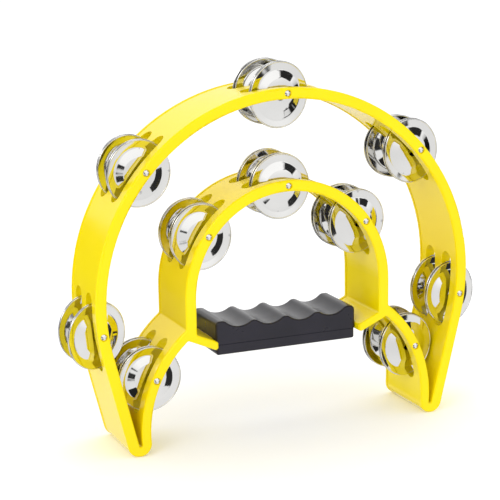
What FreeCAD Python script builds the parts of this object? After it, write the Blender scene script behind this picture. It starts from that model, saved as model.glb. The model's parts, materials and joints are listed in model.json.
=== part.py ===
import FreeCAD
import Part
import math
import os

import Sketcher
from FreeCAD import Placement, Rotation, Vector

# A half-moon tambourine: one moulded frame with an outer arch, an inner arch and two horns, a two-part grip
# clamped round its crossbar, and ten stations where a steel pin carries two pairs of jingles, each pair loose
# in its own slot.
#
# X runs to the right, +Y to the back and +Z up. The origin is midway between the two tips the frame stands
# on, so both arches share the axis x = 0, z = arch_height.

# Driving dimensions in millimetres, and in degrees where the name ends in _angle
SIZES = {
    # frame, seen from the front
    "depth": 52.0,
    "arch_height": 95.8,
    "outer_radius": 125.0,
    "inner_radius": 67.0,
    "band_thickness": 7.2,
    "tip_x": 102.8,
    "tip_radius": 7.8,
    "horn_x": 20.1,
    "horn_z": 13.8,
    "horn_thickness": 6.4,
    "gap_radius": 0.95,
    "stub_rise": 6.2,
    "corner_radius": 1.5,
    # lips along the front and back edges
    "lip_height": 0.4,
    "lip_depth": 3.0,
    "lip_radius": 1.4,
    # crossbar
    "bar_half_length": 49.5,
    "bar_top": 67.6,
    "bar_bottom": 61.8,
    "bar_depth": 24.0,
    # jingle stations, by angle round their arc's centre
    "outer_upper_angle": 48.6,
    "outer_lower_angle": 97.4,
    "inner_side_angle": 54.0,
    "horn_pin_angle": 64.4,
    "row_offset": 10.6,
    "slot_length": 51.0,
    "slot_width": 12.0,
    "slot_cut_inward": 10.0,
    "slot_cut_outward": 5.0,
    # pins
    "pin_radius": 1.0,
    "pin_bite": 0.02,
    "pin_depth": 48.0,
    "pin_head_radius": 2.0,
    "pin_head_rim": 0.4,
    "pin_head_dome": 0.6,
    "pin_seat_radius": 2.35,
    "pin_seat_depth": 1.0,
    # jingles
    "jingle_radius": 21.1,
    "jingle_sheet": 0.6,
    "jingle_bead": 0.5,
    "jingle_rim_width": 5.1,
    "jingle_dish": 0.7,
    "jingle_step_width": 5.2,
    "jingle_step_height": 1.8,
    "jingle_crown_height": 0.6,
    "jingle_bend_radius": 3.0,
    "jingle_hole_radius": 3.4,
    "jingle_gap": 1.2,
    "jingle_drop": 2.25,
    # grip
    "grip_half_length": 48.7,
    "grip_depth": 40.0,
    "grip_bottom": 57.1,
    "grip_seam": 63.8,
    "grip_crest": 77.5,
    "grip_wall": 2.5,
    "grip_ceiling": 71.0,
    "grip_end_radius": 3.0,
    "grip_end_rise": 1.5,
    "grip_edge_radius": 1.5,
    "grip_seam_round": 0.4,
    "grip_lower_inset": 0.5,
    "finger_pitch": 22.1,
    "finger_depth": 3.6,
    "finger_crest_radius": 4.8,
    "boss_radius": 3.6,
    "boss_hole_depth": 4.0,
    # grip screws
    "screw_x": 30.0,
    "screw_radius": 1.4,
    "screw_bite": 0.15,
    "screw_clearance": 0.25,
    "screw_head_radius": 2.8,
    "screw_head_height": 1.8,
    "screw_recess": 0.4,
    "screw_length": 14.0,
}

# How loose jingles have come to rest, station by station: the turn in degrees about the vertical and the nod
# about the horizontal, for the front pair and for the back pair
RESTING_TURNS = {
    "outer_top": ((8.0, 1.0), (-3.0, -1.5)),
    "inner_top": ((4.5, -1.0), (6.0, 1.0)),
    "outer_upper_left": ((4.5, 1.0), (9.0, -1.0)),
    "outer_upper_right": ((8.0, -1.0), (-6.0, 1.5)),
    "outer_lower_left": ((16.5, 0.5), (17.5, -0.5)),
    "outer_lower_right": ((13.0, -0.5), (15.0, 0.5)),
    "inner_left": ((4.5, -1.5), (7.0, 1.0)),
    "inner_right": ((7.0, 1.0), (-3.0, -1.0)),
    "horn_left": ((3.0, 1.5), (5.0, -1.0)),
    "horn_right": ((9.0, -1.0), (3.5, 1.0)),
}

document = FreeCAD.newDocument("tambourine")
sheet = document.addObject("Spreadsheet::Sheet", "sizes")
for row, (alias, number) in enumerate(SIZES.items(), start=1):
    sheet.set("A%d" % row, alias)
    sheet.set("B%d" % row, str(number))
    sheet.setAlias("B%d" % row, alias)
document.recompute()
sub_parts = []


def value(formula):
    """The number that a formula on the sheet's cells gives."""
    return float(sheet.evalExpression(formula))


def new_body(name):
    body = document.addObject("PartDesign::Body", name)
    body.Label = name
    sub_parts.append(body)
    return body


def origin_feature(body, role):
    return next(item for item in body.Origin.OriginFeatures if item.Role == role)


def new_sketch(body, name, plane, height="0"):
    """A sketch on one of the body's own planes, lifted along the plane's normal by a formula."""
    sketch = body.newObject("Sketcher::SketchObject", name)
    sketch.AttachmentSupport = [(origin_feature(body, plane), "")]
    sketch.MapMode = "FlatFace"
    if height != "0":
        sketch.setExpression(".AttachmentOffset.Base.z", height)
    return sketch


def bind(sketch, constraint, formula):
    index = sketch.addConstraint(constraint)
    sketch.setExpression("Constraints[%d]" % index, formula)


def place(sketch, geometry, point, x, y):
    """Holds a point of the sketch at two formulas, measured from the sketch's origin."""
    for kind, formula, axis in (("DistanceX", x, -2), ("DistanceY", y, -1)):
        number = value(formula)
        if abs(number) < 1e-9:
            sketch.addConstraint(Sketcher.Constraint("PointOnObject", geometry, point, axis))
        elif number > 0:
            bind(sketch, Sketcher.Constraint(kind, -1, 1, geometry, point, number), formula)
        else:
            bind(sketch, Sketcher.Constraint(kind, geometry, point, -1, 1, -number), "-(%s)" % formula)


def make_arc(start, middle, end):
    """An arc through three points, stored anticlockwise as sketches keep them: one that runs clockwise from
    start to end begins at its point 2."""
    turns_left = (middle - start).cross(end - middle).z > 0
    return Part.Arc(start, middle, end) if turns_left else Part.Arc(end, middle, start)


def add_circle(sketch, x, y, radius):
    centre = Vector(value(x), value(y), 0)
    index = sketch.addGeometry(Part.Circle(centre, Vector(0, 0, 1), value(radius)))
    place(sketch, index, 3, x, y)
    bind(sketch, Sketcher.Constraint("Radius", index, value(radius)), radius)


def add_loop(sketch, corners, arcs=()):
    """A closed loop through corners given as pairs of formulas. arcs maps the number of the corner that an
    arc starts from to the arc's radius formula, its side (+1 turns left, -1 turns right) and whether it goes
    the long way round."""
    arcs = dict(arcs)
    points = [Vector(value(x), value(y), 0) for x, y in corners]
    first = sketch.GeometryCount
    for index, start in enumerate(points):
        end = points[(index + 1) % len(points)]
        if index in arcs:
            radius, side, long_way = arcs[index]
            along = end - start
            rise = math.sqrt(value(radius) ** 2 - (along.Length / 2) ** 2)
            if long_way:
                rise = -rise
            across = Vector(-along.y, along.x, 0).normalize() * side
            centre = (start + end) / 2 + across * rise
            middle = centre - across * value(radius)
            curve = make_arc(start, middle, end)
        else:
            curve = Part.LineSegment(start, end)
        sketch.addGeometry(curve)
    for index, (x, y) in enumerate(corners):
        here = first + index
        before = first + (index - 1) % len(corners)
        start_point = 2 if index in arcs and arcs[index][1] < 0 else 1
        previous = (index - 1) % len(corners)
        end_point = 1 if previous in arcs and arcs[previous][1] < 0 else 2
        sketch.addConstraint(Sketcher.Constraint("Coincident", before, end_point, here, start_point))
        place(sketch, here, start_point, x, y)
        if index in arcs:
            radius = arcs[index][0]
            bind(sketch, Sketcher.Constraint("Radius", here, value(radius)), radius)


def add_rectangle(sketch, left, right, low, high):
    add_loop(sketch, [(left, low), (right, low), (right, high), (left, high)])


def pad(body, name, sketch, length, side="One side", reverse=False):
    feature = body.newObject("PartDesign::Pad", name)
    feature.Profile = sketch
    feature.SideType = side
    feature.Reversed = reverse
    feature.setExpression("Length", length)
    document.recompute()
    return feature


def pocket(body, name, sketch, length, side="One side", reverse=False, other_length=None):
    """A pocket, checked to have taken material away."""
    before = body.Shape.Volume
    feature = body.newObject("PartDesign::Pocket", name)
    feature.Profile = sketch
    feature.SideType = side
    feature.Reversed = reverse
    feature.setExpression("Length", length)
    if other_length:
        feature.setExpression("Length2", other_length)
    document.recompute()
    if body.Shape.Volume >= before - 1e-3:
        raise RuntimeError("%s cuts nothing" % name)
    return feature


def fillet(body, name, edges, radius):
    rounded = body.Tip
    feature = body.newObject("PartDesign::Fillet", name)
    feature.Base = (rounded, edges)
    feature.setExpression("Radius", radius)
    document.recompute()
    return feature


def edges_where(shape, test):
    return ["Edge%d" % number for number, edge in enumerate(shape.Edges, start=1) if test(edge)]


def one_per_loop(shape, test):
    """The longest edge of every smooth loop that passes the test: a round on it runs on along the others."""
    loops = Part.sortEdges([edge for edge in shape.Edges if test(edge)])
    seeds = [max(loop, key=lambda edge: edge.Length).CenterOfMass for loop in loops]
    return edges_where(shape, lambda edge: any(edge.CenterOfMass.isEqual(seed, 1e-6) for seed in seeds))


def on_plane(axis, position):
    """A test for edges that lie wholly in the plane where the given coordinate has one value."""
    def test(edge):
        box = edge.BoundBox
        low, high = getattr(box, axis + "Min"), getattr(box, axis + "Max")
        return abs(low - position) < 1e-4 and abs(high - position) < 1e-4
    return test


def stations():
    """Every jingle station as name, x formula, z formula and lean, the angle of the band there."""
    arch = "sizes.%s * %s(sizes.%s * 1 deg)"
    horn_radius = "(%s + sizes.horn_thickness / 2)" % HORN_RADIUS
    found = [("outer_top", "0", "sizes.arch_height + sizes.outer_radius", 0.0),
             ("inner_top", "0", "sizes.arch_height + sizes.inner_radius", 0.0)]
    for name, radius, angle in (("outer_upper", "outer_radius", "outer_upper_angle"),
                                ("outer_lower", "outer_radius", "outer_lower_angle"),
                                ("inner", "inner_radius", "inner_side_angle")):
        x = arch % (radius, "sin", angle)
        z = "sizes.arch_height + " + arch % (radius, "cos", angle)
        found.append((name + "_left", "-" + x, z, -value("sizes." + angle)))
        found.append((name + "_right", x, z, value("sizes." + angle)))
    x = "sizes.horn_x + %s * sin(sizes.horn_pin_angle * 1 deg)" % horn_radius
    z = "sizes.horn_z + %s * cos(sizes.horn_pin_angle * 1 deg)" % horn_radius
    found.append(("horn_left", "-(%s)" % x, z, -value("sizes.horn_pin_angle")))
    found.append(("horn_right", x, z, value("sizes.horn_pin_angle")))
    return found


# The inner edge of each horn is an arc that runs into the round of the tip
HORN_RADIUS = ("(sqrt((sizes.tip_x - sizes.horn_x)^2 + (sizes.tip_radius - sizes.horn_z)^2)"
               " - sizes.tip_radius)")


def frame_outline(sketch, inset):
    """The right half of the frame from the front, with every face set back by inset, as one closed loop:
    round the outer arch, the tip, the horn and the stub of the crossbar, then back over the inner arch,
    through the gap beside the horn and along the inside of the outer arch."""
    back = value(inset)
    half_band = value("sizes.band_thickness / 2")
    arch = Vector(0, value("sizes.arch_height"), 0)
    tip = Vector(value("sizes.tip_x"), value("sizes.tip_radius"), 0)
    horn = Vector(value("sizes.horn_x"), value("sizes.horn_z"), 0)
    outer = value("sizes.outer_radius") + half_band - back
    outer_inside = value("sizes.outer_radius") - half_band + back
    inner = value("sizes.inner_radius") + half_band - back
    inner_inside = value("sizes.inner_radius") - half_band + back
    tip_radius = value("sizes.tip_radius") - back
    horn_inside = value(HORN_RADIUS) + back
    horn_outside = value(HORN_RADIUS + " + sizes.horn_thickness") - back
    gap_radius = value("sizes.gap_radius") + back

    # The leg's faces are tangent to the arch and to the tip, so they face one direction
    to_tip = tip - arch
    fall = math.atan2(-to_tip.y, to_tip.x) - math.acos((outer - tip_radius) / to_tip.Length)
    facing = Vector(math.cos(fall), -math.sin(fall), 0)
    down = Vector(-math.sin(fall), -math.cos(fall), 0)

    # The round at the foot of the gap touches the leg's inside and the horn's outside
    on_line = arch + facing * (outer_inside - gap_radius)
    reach = horn_outside + gap_radius
    offset = (horn - on_line).dot(down)
    aside = (horn - on_line).dot(facing)
    gap = on_line + down * (offset - math.sqrt(reach ** 2 - aside ** 2))

    stub_x = value("sizes.bar_half_length") - back
    stub_low = Vector(stub_x, value("sizes.bar_bottom") + back, 0)
    stub_high = Vector(stub_x, value("sizes.bar_top") - back, 0)
    elbow = Vector(inner_inside, value("sizes.bar_top + sizes.stub_rise") - back, 0)
    slope = (elbow - stub_high).normalize()
    to_stub = stub_low - horn
    run = to_stub.dot(slope)
    underside = stub_low + slope * (math.sqrt(run ** 2 - to_stub.Length ** 2 + horn_inside ** 2) - run)
    armpit = Vector(inner, horn.y + math.sqrt(horn_outside ** 2 - (inner - horn.x) ** 2), 0)

    def arc(centre, radius, start, end):
        """The short way round from start to end, given as points on the circle."""
        middle = ((start - centre).normalize() + (end - centre).normalize()).normalize()
        return make_arc(start, centre + middle * radius, end)

    def toward(centre, point, radius):
        return centre + (point - centre).normalize() * radius

    leg_top, leg_foot = arch + facing * outer, tip + facing * tip_radius
    tip_end = toward(tip, horn, tip_radius)
    gap_on_horn, gap_on_leg = toward(gap, horn, gap_radius), gap + facing * gap_radius
    inside_leg_top = arch + facing * outer_inside
    curves = [
        arc(arch, outer, arch + Vector(0, outer, 0), leg_top),
        Part.LineSegment(leg_top, leg_foot),
        make_arc(leg_foot, tip + Vector(0, -tip_radius, 0), tip_end),
        arc(horn, horn_inside, tip_end, underside),
        Part.LineSegment(underside, stub_low),
        Part.LineSegment(stub_low, stub_high),
        Part.LineSegment(stub_high, elbow),
        Part.LineSegment(elbow, Vector(inner_inside, arch.y, 0)),
        arc(arch, inner_inside, Vector(inner_inside, arch.y, 0), arch + Vector(0, inner_inside, 0)),
        Part.LineSegment(arch + Vector(0, inner_inside, 0), arch + Vector(0, inner, 0)),
        arc(arch, inner, arch + Vector(0, inner, 0), Vector(inner, arch.y, 0)),
        Part.LineSegment(Vector(inner, arch.y, 0), armpit),
        arc(horn, horn_outside, armpit, gap_on_horn),
        make_arc(gap_on_horn, gap + Vector(0, -gap_radius, 0), gap_on_leg),
        Part.LineSegment(gap_on_leg, inside_leg_top),
        arc(arch, outer_inside, inside_leg_top, arch + Vector(0, outer_inside, 0)),
        Part.LineSegment(arch + Vector(0, outer_inside, 0), arch + Vector(0, outer, 0)),
    ]
    (ARCH_OUT, LEG_OUT, TIP, HORN_IN, STUB_LOW, STUB_END, STUB_HIGH, POST_IN, INNER_IN, INNER_CUT, INNER_OUT,
     POST_OUT, HORN_OUT, GAP, LEG_IN, ARCH_IN, ARCH_CUT) = range(len(curves))
    sketch.addGeometry(curves)

    clockwise = {ARCH_OUT, TIP, INNER_OUT, HORN_OUT}
    starts = {index: 2 if index in clockwise else 1 for index in range(len(curves))}
    smooth = {(ARCH_OUT, LEG_OUT), (LEG_OUT, TIP), (TIP, HORN_IN), (POST_IN, INNER_IN), (INNER_OUT, POST_OUT),
              (HORN_OUT, GAP), (GAP, LEG_IN), (LEG_IN, ARCH_IN)}
    for index in range(len(curves)):
        following = (index + 1) % len(curves)
        kind = "Tangent" if (index, following) in smooth else "Coincident"
        end = 3 - starts[index]
        sketch.addConstraint(Sketcher.Constraint(kind, index, end, following, starts[following]))

    place(sketch, ARCH_OUT, 3, "0", "sizes.arch_height")
    for index in (ARCH_IN, INNER_IN, INNER_OUT):
        sketch.addConstraint(Sketcher.Constraint("Coincident", index, 3, ARCH_OUT, 3))
    place(sketch, HORN_IN, 3, "sizes.horn_x", "sizes.horn_z")
    sketch.addConstraint(Sketcher.Constraint("Coincident", HORN_OUT, 3, HORN_IN, 3))
    place(sketch, TIP, 3, "sizes.tip_x", "sizes.tip_radius")
    for index, radius in (
            (ARCH_OUT, "sizes.outer_radius + sizes.band_thickness / 2 - %s" % inset),
            (ARCH_IN, "sizes.outer_radius - sizes.band_thickness / 2 + %s" % inset),
            (INNER_OUT, "sizes.inner_radius + sizes.band_thickness / 2 - %s" % inset),
            (INNER_IN, "sizes.inner_radius - sizes.band_thickness / 2 + %s" % inset),
            (TIP, "sizes.tip_radius - %s" % inset),
            (HORN_OUT, "%s + sizes.horn_thickness - %s" % (HORN_RADIUS, inset)),
            (GAP, "sizes.gap_radius + %s" % inset)):
        bind(sketch, Sketcher.Constraint("Radius", index, value(radius)), radius)
    for index in (POST_IN, POST_OUT, STUB_END):
        sketch.addConstraint(Sketcher.Constraint("Vertical", index))
    for index, point in ((ARCH_OUT, starts[ARCH_OUT]), (INNER_IN, 3 - starts[INNER_IN]),
                         (INNER_OUT, starts[INNER_OUT]), (ARCH_IN, 3 - starts[ARCH_IN])):
        sketch.addConstraint(Sketcher.Constraint("PointOnObject", index, point, -2))
    sketch.addConstraint(Sketcher.Constraint("Parallel", LEG_IN, LEG_OUT))
    sketch.addConstraint(Sketcher.Constraint("Parallel", STUB_LOW, STUB_HIGH))
    place(sketch, STUB_END, 1, "sizes.bar_half_length - %s" % inset, "sizes.bar_bottom + %s" % inset)
    for index, formula in ((STUB_END, "sizes.bar_top - %s" % inset),
                           (STUB_HIGH, "sizes.bar_top + sizes.stub_rise - %s" % inset)):
        bind(sketch, Sketcher.Constraint("DistanceY", -1, 1, index, 2, value(formula)), formula)

    # Hollow corners open out as the faces are set back, and outward corners tighten
    for first, second, corner, radius in (
            (STUB_HIGH, POST_IN, elbow, "sizes.corner_radius + %s" % inset),
            (HORN_IN, STUB_LOW, underside, "sizes.corner_radius + %s" % inset),
            (POST_OUT, HORN_OUT, armpit, "sizes.corner_radius + %s" % inset),
            (STUB_LOW, STUB_END, stub_low, "sizes.corner_radius - %s" % inset),
            (STUB_END, STUB_HIGH, stub_high, "sizes.corner_radius - %s" % inset)):
        round_corner(sketch, first, second, corner, radius)


def round_corner(sketch, first, second, corner, radius):
    """Rounds the corner where two curves of a sketch meet, and keeps the corner itself as a point."""
    before = sketch.GeometryCount
    nearby = []
    for index in (first, second):
        curve = sketch.Geometry[index]
        middle = curve.value((curve.FirstParameter + curve.LastParameter) / 2)
        nearby.append(corner + (middle - corner).normalize() * value(radius))
    sketch.fillet(first, second, nearby[0], nearby[1], value(radius), True, True)
    for index in range(before, sketch.GeometryCount):
        if isinstance(sketch.Geometry[index], Part.ArcOfCircle):
            bind(sketch, Sketcher.Constraint("Radius", index, value(radius)), radius)


def build_frame():
    body = new_body("frame")
    half_depth = "sizes.depth / 2"

    # A thin web between two thicker lips, one along each face, for the right half and then both
    web_sketch = new_sketch(body, "web_outline", "XZ_Plane")
    frame_outline(web_sketch, "sizes.lip_height")
    web = pad(body, "web", web_sketch, "sizes.depth - sizes.lip_depth", side="Symmetric")
    front_sketch = new_sketch(body, "front_lip_outline", "XZ_Plane", half_depth)
    frame_outline(front_sketch, "0")
    front_lip = pad(body, "front_lip", front_sketch, "sizes.lip_depth", reverse=True)
    back_sketch = new_sketch(body, "back_lip_outline", "XZ_Plane", "-" + half_depth)
    frame_outline(back_sketch, "0")
    back_lip = pad(body, "back_lip", back_sketch, "sizes.lip_depth")
    mirrored = body.newObject("PartDesign::Mirrored", "both_halves")
    mirrored.Originals = [web, front_lip, back_lip]
    mirrored.MirrorPlane = (origin_feature(body, "YZ_Plane"), [""])
    body.Tip = mirrored
    document.recompute()

    bar_sketch = new_sketch(body, "bar_outline", "XZ_Plane")
    bar_end = "sizes.bar_half_length + sizes.corner_radius"
    add_rectangle(bar_sketch, "-(%s)" % bar_end, bar_end, "sizes.bar_bottom + sizes.lip_height",
                  "sizes.bar_top - sizes.lip_height")
    pad(body, "bar", bar_sketch, "sizes.bar_depth", side="Symmetric")

    front_and_back = [value(half_depth), -value(half_depth)]
    fillet(body, "lip_rounds",
           one_per_loop(body.Shape, lambda edge: any(on_plane("Y", y)(edge) for y in front_and_back)),
           "sizes.lip_radius")

    cut_slots(body)
    drill_pin_holes(body)
    drill_screw_holes(body, "bar_screw_holes", "sizes.bar_top", "sizes.bar_top - sizes.bar_bottom")
    return body


def cut_slots(body):
    """Two round-ended slots through the band at each station, one for each row of jingles."""
    half_straight = "sizes.slot_length / 2 - sizes.slot_width / 2"
    for name, x, z, lean in stations():
        sketch = new_sketch(body, "slots_%s" % name, "XY_Plane")
        sketch.AttachmentOffset = Placement(Vector(value(x), 0, value(z)), Rotation(Vector(0, 1, 0), lean))
        sketch.setExpression(".AttachmentOffset.Base.x", x)
        sketch.setExpression(".AttachmentOffset.Base.z", z)
        for side in ("-", ""):
            low = "%ssizes.row_offset - sizes.slot_width / 2" % side
            high = "%ssizes.row_offset + sizes.slot_width / 2" % side
            left, right = "-(%s)" % half_straight, half_straight
            add_slot(sketch, left, right, low, high)
        pocket(body, "slot_cut_%s" % name, sketch, "sizes.slot_cut_inward", side="Two sides",
               other_length="sizes.slot_cut_outward")


def add_slot(sketch, left, right, low, high):
    """A straight slot with full-round ends, running between the centres of its ends."""
    first = sketch.GeometryCount
    x_left, x_right, y_low, y_high = value(left), value(right), value(low), value(high)
    radius = (y_high - y_low) / 2
    middle = (y_low + y_high) / 2
    sketch.addGeometry([
        Part.LineSegment(Vector(x_left, y_low, 0), Vector(x_right, y_low, 0)),
        Part.Arc(Vector(x_right, y_low, 0), Vector(x_right + radius, middle, 0), Vector(x_right, y_high, 0)),
        Part.LineSegment(Vector(x_right, y_high, 0), Vector(x_left, y_high, 0)),
        Part.Arc(Vector(x_left, y_high, 0), Vector(x_left - radius, middle, 0), Vector(x_left, y_low, 0)),
    ])
    for index in range(4):
        following = first + (index + 1) % 4
        sketch.addConstraint(Sketcher.Constraint("Tangent", first + index, 2, following, 1))
    centre = "(%s + %s) / 2" % (low, high)
    place(sketch, first + 1, 3, right, centre)
    place(sketch, first + 3, 3, left, centre)
    bind(sketch, Sketcher.Constraint("Radius", first + 1, radius), "(%s - (%s)) / 2" % (high, low))


def drill_pin_holes(body):
    """A hole for each pin from the front, stopping short of the back face, with a seat for its head."""
    for name, radius, depth in (("pin_holes", "sizes.pin_radius - sizes.pin_bite", "sizes.pin_depth"),
                                ("pin_seats", "sizes.pin_seat_radius", "sizes.pin_seat_depth")):
        sketch = new_sketch(body, name, "XZ_Plane", "sizes.depth / 2")
        for _, x, z, _ in stations():
            add_circle(sketch, x, z, radius)
        pocket(body, name + "_cut", sketch, depth)


def drill_screw_holes(body, name, top, depth):
    sketch = new_sketch(body, name, "XY_Plane", top)
    for side in ("-", ""):
        add_circle(sketch, side + "sizes.screw_x", "0", "sizes.screw_radius + sizes.screw_clearance")
    return pocket(body, name + "_cut", sketch, depth)


def build_pin(name, x, z):
    """A nail-like pin driven in from the front: a plain shank under a low domed head."""
    body = new_body("pin_" + name)
    sketch = new_sketch(body, body.Label + "_profile", "XY_Plane")
    front = "-sizes.depth / 2"
    head_top = front + " + sizes.pin_seat_depth - sizes.pin_head_rim - sizes.pin_head_dome"
    head_edge = front + " + sizes.pin_seat_depth - sizes.pin_head_rim"
    head_foot = front + " + sizes.pin_seat_depth"
    tip = front + " + sizes.pin_depth"
    corners = [("0", head_top), ("sizes.pin_head_radius", head_edge), ("sizes.pin_head_radius", head_foot),
               ("sizes.pin_radius", head_foot), ("sizes.pin_radius", tip + " - sizes.pin_radius"),
               ("0", tip)]
    dome = "(sizes.pin_head_radius^2 + sizes.pin_head_dome^2) / (2 * sizes.pin_head_dome)"
    add_loop(sketch, corners, {0: (dome, 1, False)})
    revolve(body, sketch)
    move(body, x, "0", z)


def revolve(body, sketch):
    feature = body.newObject("PartDesign::Revolution", sketch.Name + "_turned")
    feature.Profile = sketch
    feature.ReferenceAxis = (sketch, ["V_Axis"])
    feature.Angle = 360
    document.recompute()
    return feature


def move(body, x, y, z, rotation=Rotation()):
    body.Placement = Placement(Vector(value(x), value(y), value(z)), rotation)
    for axis, formula in (("x", x), ("y", y), ("z", z)):
        body.setExpression(".Placement.Base." + axis, formula)


def build_jingle(name, x, z, row, outward, turn):
    """A pressed disc: a shallow dished rim with a beaded edge, a step up, and a low crown round the centre
    hole. It lies across the slot with its hollow side facing the other disc of its pair."""
    body = new_body("jingle_" + name)
    sketch = new_sketch(body, body.Label + "_profile", "XY_Plane")
    hole = "sizes.jingle_hole_radius"
    bead_foot = ("sizes.jingle_radius - sizes.jingle_bead"
                 " - sqrt(sizes.jingle_bead^2 - (sizes.jingle_sheet / 2)^2)")
    rim_inside = "sizes.jingle_radius - sizes.jingle_rim_width"
    crown_edge = rim_inside + " - sizes.jingle_step_width"
    crown_low = "sizes.jingle_step_height"
    crown_top = "sizes.jingle_step_height + sizes.jingle_crown_height"
    sheet_up = " + sizes.jingle_sheet"
    rise = "sizes.jingle_crown_height"
    chord = "(%s - %s)" % (crown_edge, hole)
    crown_radius = "(%s^2 + %s^2) / (2 * %s)" % (chord, rise, rise)
    corners = [(hole, crown_top), (crown_edge, crown_low), (rim_inside, "0"),
               (bead_foot, "sizes.jingle_dish"), (bead_foot, "sizes.jingle_dish" + sheet_up),
               (rim_inside + " - sizes.jingle_sheet / 6", "0" + sheet_up),
               (crown_edge + " - sizes.jingle_sheet / 6", crown_low + sheet_up), (hole, crown_top + sheet_up)]
    add_loop(sketch, corners, {0: (crown_radius, -1, False), 3: ("sizes.jingle_bead", 1, True),
                               6: (crown_radius, 1, False)})
    revolve(body, sketch)
    bends = edges_where(body.Shape, is_bend)
    fillet(body, body.Label + "_bends", bends, "sizes.jingle_bend_radius")

    # The disc hangs on its pin by the centre hole, and turns about that hole
    about_vertical, nod = turn
    facing = Rotation(Vector(0, 0, 1), about_vertical) * Rotation(Vector(1, 0, 0), nod)
    if outward < 0:
        facing = facing * Rotation(Vector(0, 0, 1), 180)
    crown = "(%s + sizes.jingle_sheet / 2)" % crown_top
    back_to_rim = facing.multVec(Vector(0, -1, 0))
    move(body, "%s + %.6f * %s" % (x, back_to_rim.x, crown),
         "%ssizes.row_offset + %.6f * %s + %d * (sizes.jingle_gap / 2 + %s)" % (
             row, back_to_rim.y, crown, outward, crown),
         "%s - sizes.jingle_drop + %.6f * %s" % (z, back_to_rim.z, crown), facing)


def is_bend(edge):
    """The circles where a jingle's rim and crown meet the step between them."""
    box = edge.BoundBox
    radius = box.XMax
    inner = value("sizes.jingle_radius - sizes.jingle_rim_width - sizes.jingle_step_width - 1")
    outer = value("sizes.jingle_radius - sizes.jingle_rim_width + 0.2")
    return box.YLength < 1e-4 and inner < radius < outer


def finger_profile(sketch):
    """The side view of the upper grip shell: flat below, with rounded ends and a row of finger hollows.

    The crests at the two ends stand a little higher than those between, to keep the hand in place.
    """
    half = value("sizes.grip_half_length")
    top, seam = value("sizes.grip_crest"), value("sizes.grip_seam")
    pitch = value("sizes.finger_pitch")
    crest = value("sizes.finger_crest_radius")
    end = value("sizes.grip_end_radius")
    hollow_formula = ("((sizes.finger_pitch / 2)^2 + sizes.finger_depth^2) / (2 * sizes.finger_depth)"
                      " - sizes.finger_crest_radius")
    hollow = value(hollow_formula)
    top += value("sizes.grip_end_rise")
    crests, centre_formulas = [], []
    for number in range(-2, 3):
        height = "sizes.grip_crest - sizes.finger_crest_radius"
        if abs(number) == 2:
            height += " + sizes.grip_end_rise"
        crests.append(Vector(number * pitch, value(height), 0))
        centre_formulas.append(("%d * sizes.finger_pitch" % number, height))

    curves = [Part.LineSegment(Vector(half, seam, 0), Vector(-half, seam, 0)),
              Part.LineSegment(Vector(-half, seam, 0), Vector(-half, top - end, 0)),
              make_arc(Vector(-half, top - end, 0),
                       Vector(-half + end * (1 - math.sqrt(0.5)), top - end * (1 - math.sqrt(0.5)), 0),
                       Vector(-half + end, top, 0)),
              Part.LineSegment(Vector(-half + end, top, 0), Vector(crests[0].x, top, 0))]
    reversed_arcs = {2}
    centres, radii = {}, {}
    point = Vector(crests[0].x, top, 0)
    for number, centre in enumerate(crests):
        last = number == len(crests) - 1
        if last:
            leave = Vector(centre.x, top, 0)
        else:
            across = crests[number + 1] - centre
            above = Vector(-across.y, across.x, 0).normalize()
            bowl = centre + across / 2 + above * math.sqrt((hollow + crest) ** 2 - (across.Length / 2) ** 2)
            leave = centre + (bowl - centre).normalize() * crest
        middle = centre + ((point - centre) + (leave - centre)).normalize() * crest
        centres[len(curves)] = centre_formulas[number]
        radii[len(curves)] = "sizes.finger_crest_radius"
        reversed_arcs.add(len(curves))
        curves.append(make_arc(point, middle, leave))
        if last:
            break
        point = crests[number + 1] + (bowl - crests[number + 1]).normalize() * crest
        low = bowl + ((leave - bowl) + (point - bowl)).normalize() * hollow
        radii[len(curves)] = hollow_formula
        curves.append(make_arc(leave, low, point))
    curves += [Part.LineSegment(Vector(crests[-1].x, top, 0), Vector(half - end, top, 0)),
               make_arc(Vector(half - end, top, 0),
                        Vector(half - end * (1 - math.sqrt(0.5)), top - end * (1 - math.sqrt(0.5)), 0),
                        Vector(half, top - end, 0)),
               Part.LineSegment(Vector(half, top - end, 0), Vector(half, seam, 0))]
    count = len(curves)
    reversed_arcs.add(count - 2)
    sketch.addGeometry(curves)
    starts = {index: 2 if index in reversed_arcs else 1 for index in range(count)}
    square = {(0, 1), (count - 1, 0)}
    for index in range(count):
        following = (index + 1) % count
        kind = "Coincident" if (index, following) in square else "Tangent"
        sketch.addConstraint(Sketcher.Constraint(kind, index, 3 - starts[index], following, starts[following]))
    for index, formula in radii.items():
        bind(sketch, Sketcher.Constraint("Radius", index, value(formula)), formula)
    for index, (x, y) in centres.items():
        place(sketch, index, 3, x, y)
    for index in (2, count - 2):
        bind(sketch, Sketcher.Constraint("Radius", index, end), "sizes.grip_end_radius")
    for index in (1, count - 1):
        sketch.addConstraint(Sketcher.Constraint("Vertical", index))
    place(sketch, 0, 1, "sizes.grip_half_length", "sizes.grip_seam")
    place(sketch, 0, 2, "-sizes.grip_half_length", "sizes.grip_seam")


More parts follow.
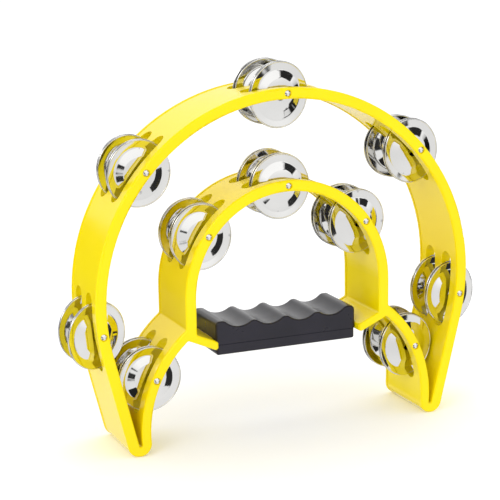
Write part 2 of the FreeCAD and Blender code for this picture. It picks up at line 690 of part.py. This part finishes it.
def build_grip_upper():
    """The upper shell of the grip, hollow below, resting on the crossbar by two screw bosses."""
    body = new_body("grip_upper")
    sketch = new_sketch(body, "finger_profile", "XZ_Plane")
    finger_profile(sketch)
    pad(body, "grip_upper_block", sketch, "sizes.grip_depth", side="Symmetric")
    half_depth = value("sizes.grip_depth / 2")
    seam = value("sizes.grip_seam")
    rim = edges_where(body.Shape, lambda edge: any(on_plane("Y", y)(edge) for y in (half_depth, -half_depth))
                      and edge.BoundBox.ZMax > seam + 0.1)
    fillet(body, "grip_upper_edges", rim, "sizes.grip_edge_radius")
    fillet(body, "grip_upper_seam", edges_where(body.Shape, on_plane("Z", seam)), "sizes.grip_seam_round")

    hollow = new_sketch(body, "grip_upper_hollow", "XY_Plane", "sizes.grip_seam")
    x, y = "sizes.grip_half_length - sizes.grip_wall", "sizes.grip_depth / 2 - sizes.grip_wall"
    add_rectangle(hollow, "-(%s)" % x, x, "-(%s)" % y, y)
    pocket(body, "grip_upper_hollow_cut", hollow, "sizes.grip_ceiling - sizes.grip_seam", reverse=True)

    bosses = new_sketch(body, "grip_upper_bosses", "XY_Plane", "sizes.bar_top - sizes.lip_height")
    for side in ("-", ""):
        add_circle(bosses, side + "sizes.screw_x", "0", "sizes.boss_radius")
    pad(body, "grip_upper_boss_pads", bosses, "sizes.grip_ceiling - sizes.bar_top + sizes.lip_height")
    holes = new_sketch(body, "grip_upper_boss_holes", "XY_Plane", "sizes.bar_top - sizes.lip_height")
    for side in ("-", ""):
        add_circle(holes, side + "sizes.screw_x", "0", "sizes.screw_radius - sizes.screw_bite")
    pocket(body, "grip_upper_boss_holes_cut", holes, "sizes.boss_hole_depth + sizes.lip_height", reverse=True)

    cut_bar_notch(body, "grip_upper_notch", "sizes.grip_seam", "sizes.bar_top - sizes.lip_height")


def cut_bar_notch(body, name, low, high):
    """An opening through both end walls that the crossbar passes through."""
    sketch = new_sketch(body, name, "YZ_Plane")
    half = "sizes.bar_depth / 2"
    add_rectangle(sketch, "-" + half, half, low, high)
    pocket(body, name + "_cut", sketch, "2 * sizes.grip_half_length + 2", side="Symmetric")


def build_grip_lower():
    """The lower shell: a tray screwed up against the crossbar from below."""
    body = new_body("grip_lower")
    half_length = "sizes.grip_half_length - sizes.grip_lower_inset"
    sketch = new_sketch(body, "grip_lower_outline", "XY_Plane", "sizes.grip_bottom")
    y = "sizes.grip_depth / 2"
    add_rectangle(sketch, "-(%s)" % half_length, half_length, "-" + y, y)
    pad(body, "grip_lower_block", sketch, "sizes.grip_seam - sizes.grip_bottom")
    bottom, seam = value("sizes.grip_bottom"), value("sizes.grip_seam")
    below_seam = edges_where(body.Shape, lambda edge: edge.BoundBox.ZMin < bottom + 0.1)
    fillet(body, "grip_lower_edges", below_seam, "sizes.grip_edge_radius")
    fillet(body, "grip_lower_seam", edges_where(body.Shape, on_plane("Z", seam)), "sizes.grip_seam_round")

    hollow = new_sketch(body, "grip_lower_hollow", "XY_Plane", "sizes.grip_seam")
    x = half_length + " - sizes.grip_wall"
    inner_y = y + " - sizes.grip_wall"
    add_rectangle(hollow, "-(%s)" % x, x, "-(%s)" % inner_y, inner_y)
    pocket(body, "grip_lower_hollow_cut", hollow, "sizes.grip_seam - sizes.grip_bottom - sizes.grip_wall")

    bosses = new_sketch(body, "grip_lower_bosses", "XY_Plane", "sizes.grip_bottom + sizes.grip_wall")
    for side in ("-", ""):
        add_circle(bosses, side + "sizes.screw_x", "0", "sizes.boss_radius")
    pad(body, "grip_lower_boss_pads", bosses,
        "sizes.bar_bottom + sizes.lip_height - sizes.grip_bottom - sizes.grip_wall")
    drill_screw_holes(body, "grip_lower_screw_holes", "sizes.grip_seam", "sizes.grip_seam - sizes.grip_bottom")
    sinks = new_sketch(body, "grip_lower_screw_seats", "XY_Plane", "sizes.grip_bottom")
    for side in ("-", ""):
        add_circle(sinks, side + "sizes.screw_x", "0", "sizes.screw_head_radius + sizes.screw_clearance")
    pocket(body, "grip_lower_screw_seats_cut", sinks, "sizes.screw_head_height + sizes.screw_recess",
           reverse=True)

    cut_bar_notch(body, "grip_lower_notch", "sizes.bar_bottom + sizes.lip_height", "sizes.grip_seam")


def build_grip_screws():
    """Two self-tapping screws with round heads and cross recesses, as one group of separate solids."""
    screws = []
    for side, name in (("-", "left"), ("", "right")):
        shank = document.addObject("Part::Cylinder", "screw_shank_" + name)
        shank.setExpression("Radius", "sizes.screw_radius")
        shank.setExpression("Height", "sizes.screw_length")
        head = document.addObject("Part::Cone", "screw_head_" + name)
        head.setExpression("Radius1", "sizes.screw_head_radius - sizes.screw_recess")
        head.setExpression("Radius2", "sizes.screw_head_radius")
        head.setExpression("Height", "sizes.screw_head_height")
        solid = document.addObject("Part::Fuse", "screw_blank_" + name)
        solid.Base, solid.Tool = head, shank
        for turn in (0, 90):
            slot = document.addObject("Part::Box", "screw_slot_%s_%d" % (name, turn))
            slot.setExpression("Length", "sizes.screw_head_radius")
            slot.setExpression("Width", "sizes.screw_recess")
            slot.setExpression("Height", "sizes.screw_head_height / 2")
            half, thin = value("sizes.screw_head_radius / 2"), value("sizes.screw_recess / 2")
            rotation = Rotation(Vector(0, 0, 1), turn)
            slot.Placement = Placement(rotation.multVec(Vector(-half, -thin, 0)), rotation)
            cut = document.addObject("Part::Cut", "screw_recess_%s_%d" % (name, turn))
            cut.Base, cut.Tool = solid, slot
            solid = cut
        move(solid, side + "sizes.screw_x", "0", "sizes.grip_bottom + sizes.screw_recess")
        screws.append(solid)
    group = document.addObject("Part::Compound", "grip_screws")
    group.Label = "grip_screws"
    group.Links = screws
    sub_parts.append(group)


build_frame()
for station_name, station_x, station_z, _ in stations():
    build_pin(station_name, station_x, station_z)
    for row_name, row_sign, turns in (("front", "-", RESTING_TURNS[station_name][0]),
                                      ("back", "", RESTING_TURNS[station_name][1])):
        for disc_name, disc_side in (("fore", -1), ("aft", 1)):
            build_jingle("%s_%s_%s" % (station_name, row_name, disc_name), station_x, station_z, row_sign,
                         disc_side, turns)
build_grip_upper()
build_grip_lower()
build_grip_screws()
document.recompute()

for item in document.Objects:
    if "Invalid" in item.State or "Error" in item.State:
        raise RuntimeError("%s failed: %s" % (item.Name, item.State))
for item in sub_parts:
    if item.Shape.isNull() or not item.Shape.isValid():
        raise RuntimeError("%s has no valid shape" % item.Label)

os.makedirs("parts", exist_ok=True)
for item in sub_parts:
    item.Shape.exportStep("parts/%s.step" % item.Label)
    print("%-40s %10.1f mm3" % (item.Label, item.Shape.Volume))
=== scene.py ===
import json
import math

import bpy
from mathutils import Matrix, Vector

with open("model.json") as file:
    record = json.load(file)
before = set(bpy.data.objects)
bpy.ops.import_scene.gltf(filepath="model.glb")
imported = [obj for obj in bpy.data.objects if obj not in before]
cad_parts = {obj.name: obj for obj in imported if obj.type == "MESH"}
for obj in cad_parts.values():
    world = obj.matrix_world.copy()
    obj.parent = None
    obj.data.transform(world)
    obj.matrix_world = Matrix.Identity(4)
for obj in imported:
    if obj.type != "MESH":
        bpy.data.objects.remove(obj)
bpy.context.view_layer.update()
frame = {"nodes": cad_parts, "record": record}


# Node helpers, for materials and for the world

def set_inputs(node, values):
    """Sets constants on a node's own sockets."""
    for socket, value in values.items():
        node.inputs[socket].default_value = value


def noise(nodes, links, scale, detail=4.0, roughness=0.5, stretch=None):
    """Noise in the part's own coordinates, so that it stays put on the part."""
    source = nodes.new("ShaderNodeTexCoord").outputs["Object"]
    texture = nodes.new("ShaderNodeTexNoise")
    set_inputs(texture, {"Scale": scale, "Detail": detail, "Roughness": roughness})
    if stretch:
        mapping = nodes.new("ShaderNodeMapping")
        mapping.inputs["Scale"].default_value = stretch
        links.new(source, mapping.inputs["Vector"])
        source = mapping.outputs["Vector"]
    links.new(source, texture.inputs["Vector"])
    return texture.outputs["Fac"]


def ramp(nodes, links, source, stops):
    """A colour ramp over a value: stops are (position, colour), where one number stands for a grey."""
    node = nodes.new("ShaderNodeValToRGB")
    elements = node.color_ramp.elements
    while len(elements) < len(stops):
        elements.new(0.5)
    for element, (position, colour) in zip(elements, stops):
        element.position = position
        element.color = (*colour, 1.0) if isinstance(colour, tuple) else (colour, colour, colour, 1.0)
    links.new(source, node.inputs["Fac"])
    return node.outputs["Color"]


def spread(nodes, links, source, low, high, start=0.3, end=0.7):
    """Maps the middle of a noise onto a range of values."""
    node = nodes.new("ShaderNodeMapRange")
    set_inputs(node, {"From Min": start, "From Max": end, "To Min": low, "To Max": high})
    links.new(source, node.inputs["Value"])
    return node.outputs["Result"]


def darkened(nodes, links, colour, mask):
    """One colour multiplied by another."""
    node = nodes.new("ShaderNodeMixRGB")
    node.blend_type = "MULTIPLY"
    node.inputs["Fac"].default_value = 1.0
    links.new(colour, node.inputs["Color1"])
    links.new(mask, node.inputs["Color2"])
    return node.outputs["Color"]


def bump(nodes, links, shader, layers):
    """Stacks bumps on the shader's normal: layers are (height, strength, distance in metres)."""
    previous = None
    for height, strength, distance in layers:
        node = nodes.new("ShaderNodeBump")
        set_inputs(node, {"Strength": strength, "Distance": distance})
        links.new(height, node.inputs["Height"])
        if previous:
            links.new(previous, node.inputs["Normal"])
        previous = node.outputs["Normal"]
    links.new(previous, shader.inputs["Normal"])


# Materials

def new_material(name):
    """A plain node material, with its nodes, its links and its shader."""
    material = bpy.data.materials.new(name)
    material.use_nodes = True
    tree = material.node_tree
    return material, tree.nodes, tree.links, tree.nodes["Principled BSDF"]


def yellow_plastic():
    """Glossy moulded plastic: faint flow marks in the colour, a soft orange-peel surface and some haze."""
    material, nodes, links, shader = new_material("yellow_moulded_plastic")
    flow = noise(nodes, links, scale=14.0, detail=3.0, roughness=0.45, stretch=(1.0, 0.35, 1.0))
    deep, usual, light = (0.93, 0.73, 0.000), (0.97, 0.775, 0.001), (0.99, 0.81, 0.002)
    colour = ramp(nodes, links, flow, [(0.30, deep), (0.55, usual), (0.75, light)])
    links.new(colour, shader.inputs["Base Color"])
    haze = noise(nodes, links, scale=60.0, detail=6.0, roughness=0.6)
    links.new(spread(nodes, links, haze, low=0.16, high=0.24), shader.inputs["Roughness"])
    set_inputs(shader, {"Specular IOR Level": 0.26, "Coat Weight": 0.05, "Coat Roughness": 0.08})
    peel = noise(nodes, links, scale=420.0, detail=2.0)
    grain = noise(nodes, links, scale=2600.0, detail=2.0)
    bump(nodes, links, shader, [(peel, 0.05, 0.00006), (grain, 0.05, 0.00002)])
    return material


def grip_plastic():
    """Dark satin plastic with a fine moulded grain that is rubbed smoother in places."""
    material, nodes, links, shader = new_material("dark_grip_plastic")
    cloud = noise(nodes, links, scale=40.0, detail=5.0)
    deep, light = (0.009, 0.008, 0.015), (0.015, 0.013, 0.024)
    links.new(ramp(nodes, links, cloud, [(0.30, deep), (0.70, light)]), shader.inputs["Base Color"])
    rubbed = noise(nodes, links, scale=90.0, detail=4.0, roughness=0.6)
    links.new(spread(nodes, links, rubbed, low=0.26, high=0.36), shader.inputs["Roughness"])
    set_inputs(shader, {"Coat Weight": 0.20, "Coat Roughness": 0.25, "Specular IOR Level": 0.32})
    grain = noise(nodes, links, scale=1500.0, detail=3.0, roughness=0.6)
    bump(nodes, links, shader, [(grain, 0.25, 0.00006)])
    return material


def chrome():
    """Bright plated steel sheet: slow waviness, smudges and hair scratches, with painted shade on its edges
    and creases and in the gaps between discs.
    """
    material, nodes, links, shader = new_material("plated_jingle_steel")
    shader.inputs["Metallic"].default_value = 1.0
    tint = noise(nodes, links, scale=30.0, detail=2.0)
    deep, light = (0.76, 0.755, 0.74), (0.84, 0.835, 0.82)
    plate = ramp(nodes, links, tint, [(0.35, deep), (0.65, light)])
    # Painted shade: sharp edges and creases are darkened, standing in for the dark reflections they catch
    pointiness = nodes.new("ShaderNodeNewGeometry").outputs["Pointiness"]
    painted_edge_shade = ramp(nodes, links, pointiness, [(0.40, 0.75), (0.47, 1.0), (0.53, 1.0), (0.60, 0.70)])
    edge_shaded_plate = darkened(nodes, links, plate, painted_edge_shade)
    # Painted shade: ambient occlusion darkens the narrow gaps between discs, where shade falls
    gap = nodes.new("ShaderNodeAmbientOcclusion")
    gap.samples = 8
    gap.inputs["Distance"].default_value = 0.004
    painted_gap_shade = ramp(nodes, links, gap.outputs["AO"], [(0.10, 0.03), (0.55, 1.0)])
    links.new(darkened(nodes, links, edge_shaded_plate, painted_gap_shade), shader.inputs["Base Color"])
    smudge = noise(nodes, links, scale=110.0, detail=5.0, roughness=0.65)
    dullness = spread(nodes, links, smudge, low=0.035, high=0.10, start=0.40, end=0.75)
    links.new(dullness, shader.inputs["Roughness"])
    wave = noise(nodes, links, scale=45.0, detail=1.0)
    scratch = noise(nodes, links, scale=900.0, detail=3.0, roughness=0.7, stretch=(1.0, 1.0, 0.12))
    bump(nodes, links, shader, [(wave, 0.30, 0.0010), (scratch, 0.05, 0.00003)])
    return material


def pin_steel():
    """Polished pin steel with a slight grain."""
    material, nodes, links, shader = new_material("polished_pin_steel")
    shader.inputs["Metallic"].default_value = 1.0
    tint = noise(nodes, links, scale=500.0, detail=3.0)
    deep, light = (0.80, 0.79, 0.75), (0.92, 0.91, 0.88)
    links.new(ramp(nodes, links, tint, [(0.35, deep), (0.65, light)]), shader.inputs["Base Color"])
    links.new(spread(nodes, links, tint, low=0.12, high=0.26), shader.inputs["Roughness"])
    grain = noise(nodes, links, scale=3000.0, detail=2.0)
    bump(nodes, links, shader, [(grain, 0.10, 0.00003)])
    return material


def screw_steel():
    """Zinc-plated screw steel with a mottled sheen."""
    material, nodes, links, shader = new_material("zinc_screw_steel")
    shader.inputs["Metallic"].default_value = 1.0
    mottle = noise(nodes, links, scale=700.0, detail=4.0, roughness=0.6)
    deep, light = (0.42, 0.43, 0.44), (0.60, 0.61, 0.60)
    links.new(ramp(nodes, links, mottle, [(0.35, deep), (0.65, light)]), shader.inputs["Base Color"])
    links.new(spread(nodes, links, mottle, low=0.25, high=0.42), shader.inputs["Roughness"])
    grain = noise(nodes, links, scale=2500.0, detail=3.0)
    bump(nodes, links, shader, [(grain, 0.20, 0.00004)])
    return material


def dress(node, material):
    """Gives every material slot of a CAD node one material."""
    target = frame["nodes"][node]
    if not target.material_slots:
        target.data.materials.append(material)
    for slot in target.material_slots:
        slot.material = material


FINISHES = {"frame": yellow_plastic(), "grip": grip_plastic(), "jingle": chrome(), "pin": pin_steel(),
            "screw": screw_steel()}
for entry in frame["record"]["subparts"]:
    dress(entry["node"], FINISHES[entry["material_slot"]])


# Stage, light and camera. Places are in metres

ARCH_CENTRE = Vector((0.0, 0.0, 0.0958))
FLOOR_REACH = 6.0
# Lights are (name, place, width, power in watts), and all point at the middle of the outer arch
LIGHTS = [("key", (-1.5, -1.2, 1.5), 1.1, 8.0), ("top", (0.3, 0.5, 1.9), 1.2, 4.0)]

# What polished surfaces see of the studio, the same in front of the object and behind it. Wall shades are
# (height, shade), with heights from 0 straight down to 1 straight up. Dark flags are (azimuth, elevation,
# half width, softness, shade), in degrees, with azimuths to the right of the line from front to back
WALL_SHADES = [(0.00, 0.95), (0.45, 0.90), (0.52, 0.95), (0.60, 1.15), (0.80, 1.15), (0.86, 0.35),
               (0.93, 0.30), (0.96, 1.10)]
DARK_FLAGS = [(55, 20, 13, 2, 0.02), (66, -24, 12, 2, 0.03), (-10, -44, 14, 2, 0.02),
              (-18, -8, 12, 2, 0.03), (-48, 8, 13, 3, 0.08), (85, 0, 12, 3, 0.04)]
FLAG_RAGGEDNESS = 0.20

CAMERA_PLACE = Vector((-0.40381, -0.92369, 0.34093))
CAMERA_TARGET = Vector((-0.0163, 0.0, 0.118375))
CAMERA_ROLL = math.radians(-0.8964)
SENSOR_WIDTH = 36.0
LENS = 115.2


def pale_floor():
    """A wide white floor that glows faintly and that polished surfaces don't reflect."""
    mesh = bpy.data.meshes.new("floor")
    corners = [(-1, -1), (1, -1), (1, 1), (-1, 1)]
    mesh.from_pydata([(x * FLOOR_REACH, y * FLOOR_REACH, 0) for x, y in corners], [], [(0, 1, 2, 3)])
    floor = bpy.data.objects.new("floor", mesh)
    bpy.context.collection.objects.link(floor)
    material, _, _, shader = new_material("pale_floor")
    set_inputs(shader, {"Base Color": (0.97, 0.97, 0.97, 1.0), "Roughness": 0.9, "Specular IOR Level": 0.1,
                        "Emission Color": (1.0, 1.0, 1.0, 1.0), "Emission Strength": 0.10})
    mesh.materials.append(material)
    floor.visible_glossy = False


def soft_light(name, place, width, power):
    """A round soft light."""
    data = bpy.data.lights.new(name, "AREA")
    data.shape = "DISK"
    data.size = width
    data.energy = power
    light = bpy.data.objects.new(name, data)
    light.location = place
    light.rotation_euler = (ARCH_CENTRE - Vector(place)).to_track_quat("-Z", "Y").to_euler()
    bpy.context.collection.objects.link(light)


def vector_math(nodes, links, operation, *values):
    """A vector operation on sockets and plain vectors."""
    node = nodes.new("ShaderNodeVectorMath")
    node.operation = operation
    for socket, value in zip(node.inputs, values):
        if isinstance(value, bpy.types.NodeSocket):
            links.new(value, socket)
        else:
            socket.default_value = value
    return node


def smooth_step(nodes, links, source, start, end, low, high):
    """Turns smoothly from one value to another as the source passes a range."""
    node = nodes.new("ShaderNodeMapRange")
    node.interpolation_type = "SMOOTHSTEP"
    set_inputs(node, {"From Min": start, "From Max": end, "To Min": low, "To Max": high})
    links.new(source, node.inputs["Value"])
    return node.outputs["Result"]


def product(nodes, links, first, second):
    """Two values multiplied."""
    node = nodes.new("ShaderNodeMath")
    node.operation = "MULTIPLY"
    links.new(first, node.inputs[0])
    links.new(second, node.inputs[1])
    return node.outputs["Value"]


def separated(nodes, links, vector):
    """The sockets of a vector's three numbers."""
    node = nodes.new("ShaderNodeSeparateXYZ")
    links.new(vector, node.inputs["Vector"])
    return node.outputs


def reflected_shade(nodes, links):
    """How bright reflections are: walls by height, dark in the arch's plane, with ragged dark flags."""
    outward = nodes.new("ShaderNodeTexCoord").outputs["Generated"]
    parts = separated(nodes, links, outward)
    folded = separated(nodes, links, vector_math(nodes, links, "ABSOLUTE", outward).outputs["Vector"])
    mirrored = nodes.new("ShaderNodeCombineXYZ")
    for axis, source in (("X", parts), ("Y", folded), ("Z", parts)):
        links.new(source[axis], mirrored.inputs[axis])
    direction = mirrored.outputs["Vector"]
    ragged = nodes.new("ShaderNodeTexNoise")
    set_inputs(ragged, {"Scale": 4.0, "Detail": 2.0})
    links.new(direction, ragged.inputs["Vector"])
    reach, half_reach = (FLAG_RAGGEDNESS,) * 3, (FLAG_RAGGEDNESS / 2,) * 3
    shifted = vector_math(nodes, links, "MULTIPLY_ADD", ragged.outputs["Color"], reach, direction)
    aimed = vector_math(nodes, links, "SUBTRACT", shifted.outputs["Vector"], half_reach)

    height = nodes.new("ShaderNodeMapRange")
    height.inputs["From Min"].default_value = -1.0
    links.new(parts["Z"], height.inputs["Value"])
    walls = ramp(nodes, links, height.outputs["Result"], WALL_SHADES)
    sides = smooth_step(nodes, links, folded["Y"], 0.10, 0.36, low=0.06, high=1.0)
    shade = product(nodes, links, walls, sides)
    for azimuth, elevation, half_width, softness, flag_shade in DARK_FLAGS:
        az, el = math.radians(azimuth), math.radians(elevation)
        middle = (math.sin(az) * math.cos(el), math.cos(az) * math.cos(el), math.sin(el))
        nearness = vector_math(nodes, links, "DOT_PRODUCT", aimed.outputs["Vector"], middle).outputs["Value"]
        outer, inner = math.cos(math.radians(half_width + softness)), math.cos(math.radians(half_width))
        flag = smooth_step(nodes, links, nearness, outer, inner, low=1.0, high=flag_shade)
        shade = product(nodes, links, shade, flag)
    return shade


def surroundings():
    """An even white room for the light, and a shaded one with black flags for reflections."""
    world = bpy.data.worlds.new("studio")
    bpy.context.scene.world = world
    world.use_nodes = True
    nodes, links = world.node_tree.nodes, world.node_tree.links
    even = nodes["Background"]
    set_inputs(even, {"Color": (1.0, 1.0, 1.0, 1.0), "Strength": 1.0})
    reflected = nodes.new("ShaderNodeBackground")
    links.new(reflected_shade(nodes, links), reflected.inputs["Color"])
    path = nodes.new("ShaderNodeLightPath")
    mix = nodes.new("ShaderNodeMixShader")
    links.new(path.outputs["Is Glossy Ray"], mix.inputs["Fac"])
    links.new(even.outputs["Background"], mix.inputs[1])
    links.new(reflected.outputs["Background"], mix.inputs[2])
    links.new(mix.outputs["Shader"], nodes["World Output"].inputs["Surface"])


def main_camera():
    """The main view: from the left and a little above, with a slight roll."""
    data = bpy.data.cameras.new("camera")
    data.sensor_width = SENSOR_WIDTH
    data.lens = LENS
    camera = bpy.data.objects.new("camera", data)
    back = (CAMERA_PLACE - CAMERA_TARGET).normalized()
    right = Vector((0, 0, 1)).cross(back).normalized()
    up = back.cross(right)
    side = right * math.cos(CAMERA_ROLL) + up * math.sin(CAMERA_ROLL)
    top = up * math.cos(CAMERA_ROLL) - right * math.sin(CAMERA_ROLL)
    turn = Matrix((side, top, back)).transposed().to_4x4()
    camera.matrix_world = Matrix.Translation(CAMERA_PLACE) @ turn
    bpy.context.collection.objects.link(camera)
    bpy.context.scene.camera = camera


pale_floor()
surroundings()
for light in LIGHTS:
    soft_light(*light)
main_camera()
bpy.context.scene.view_settings.view_transform = "Standard"
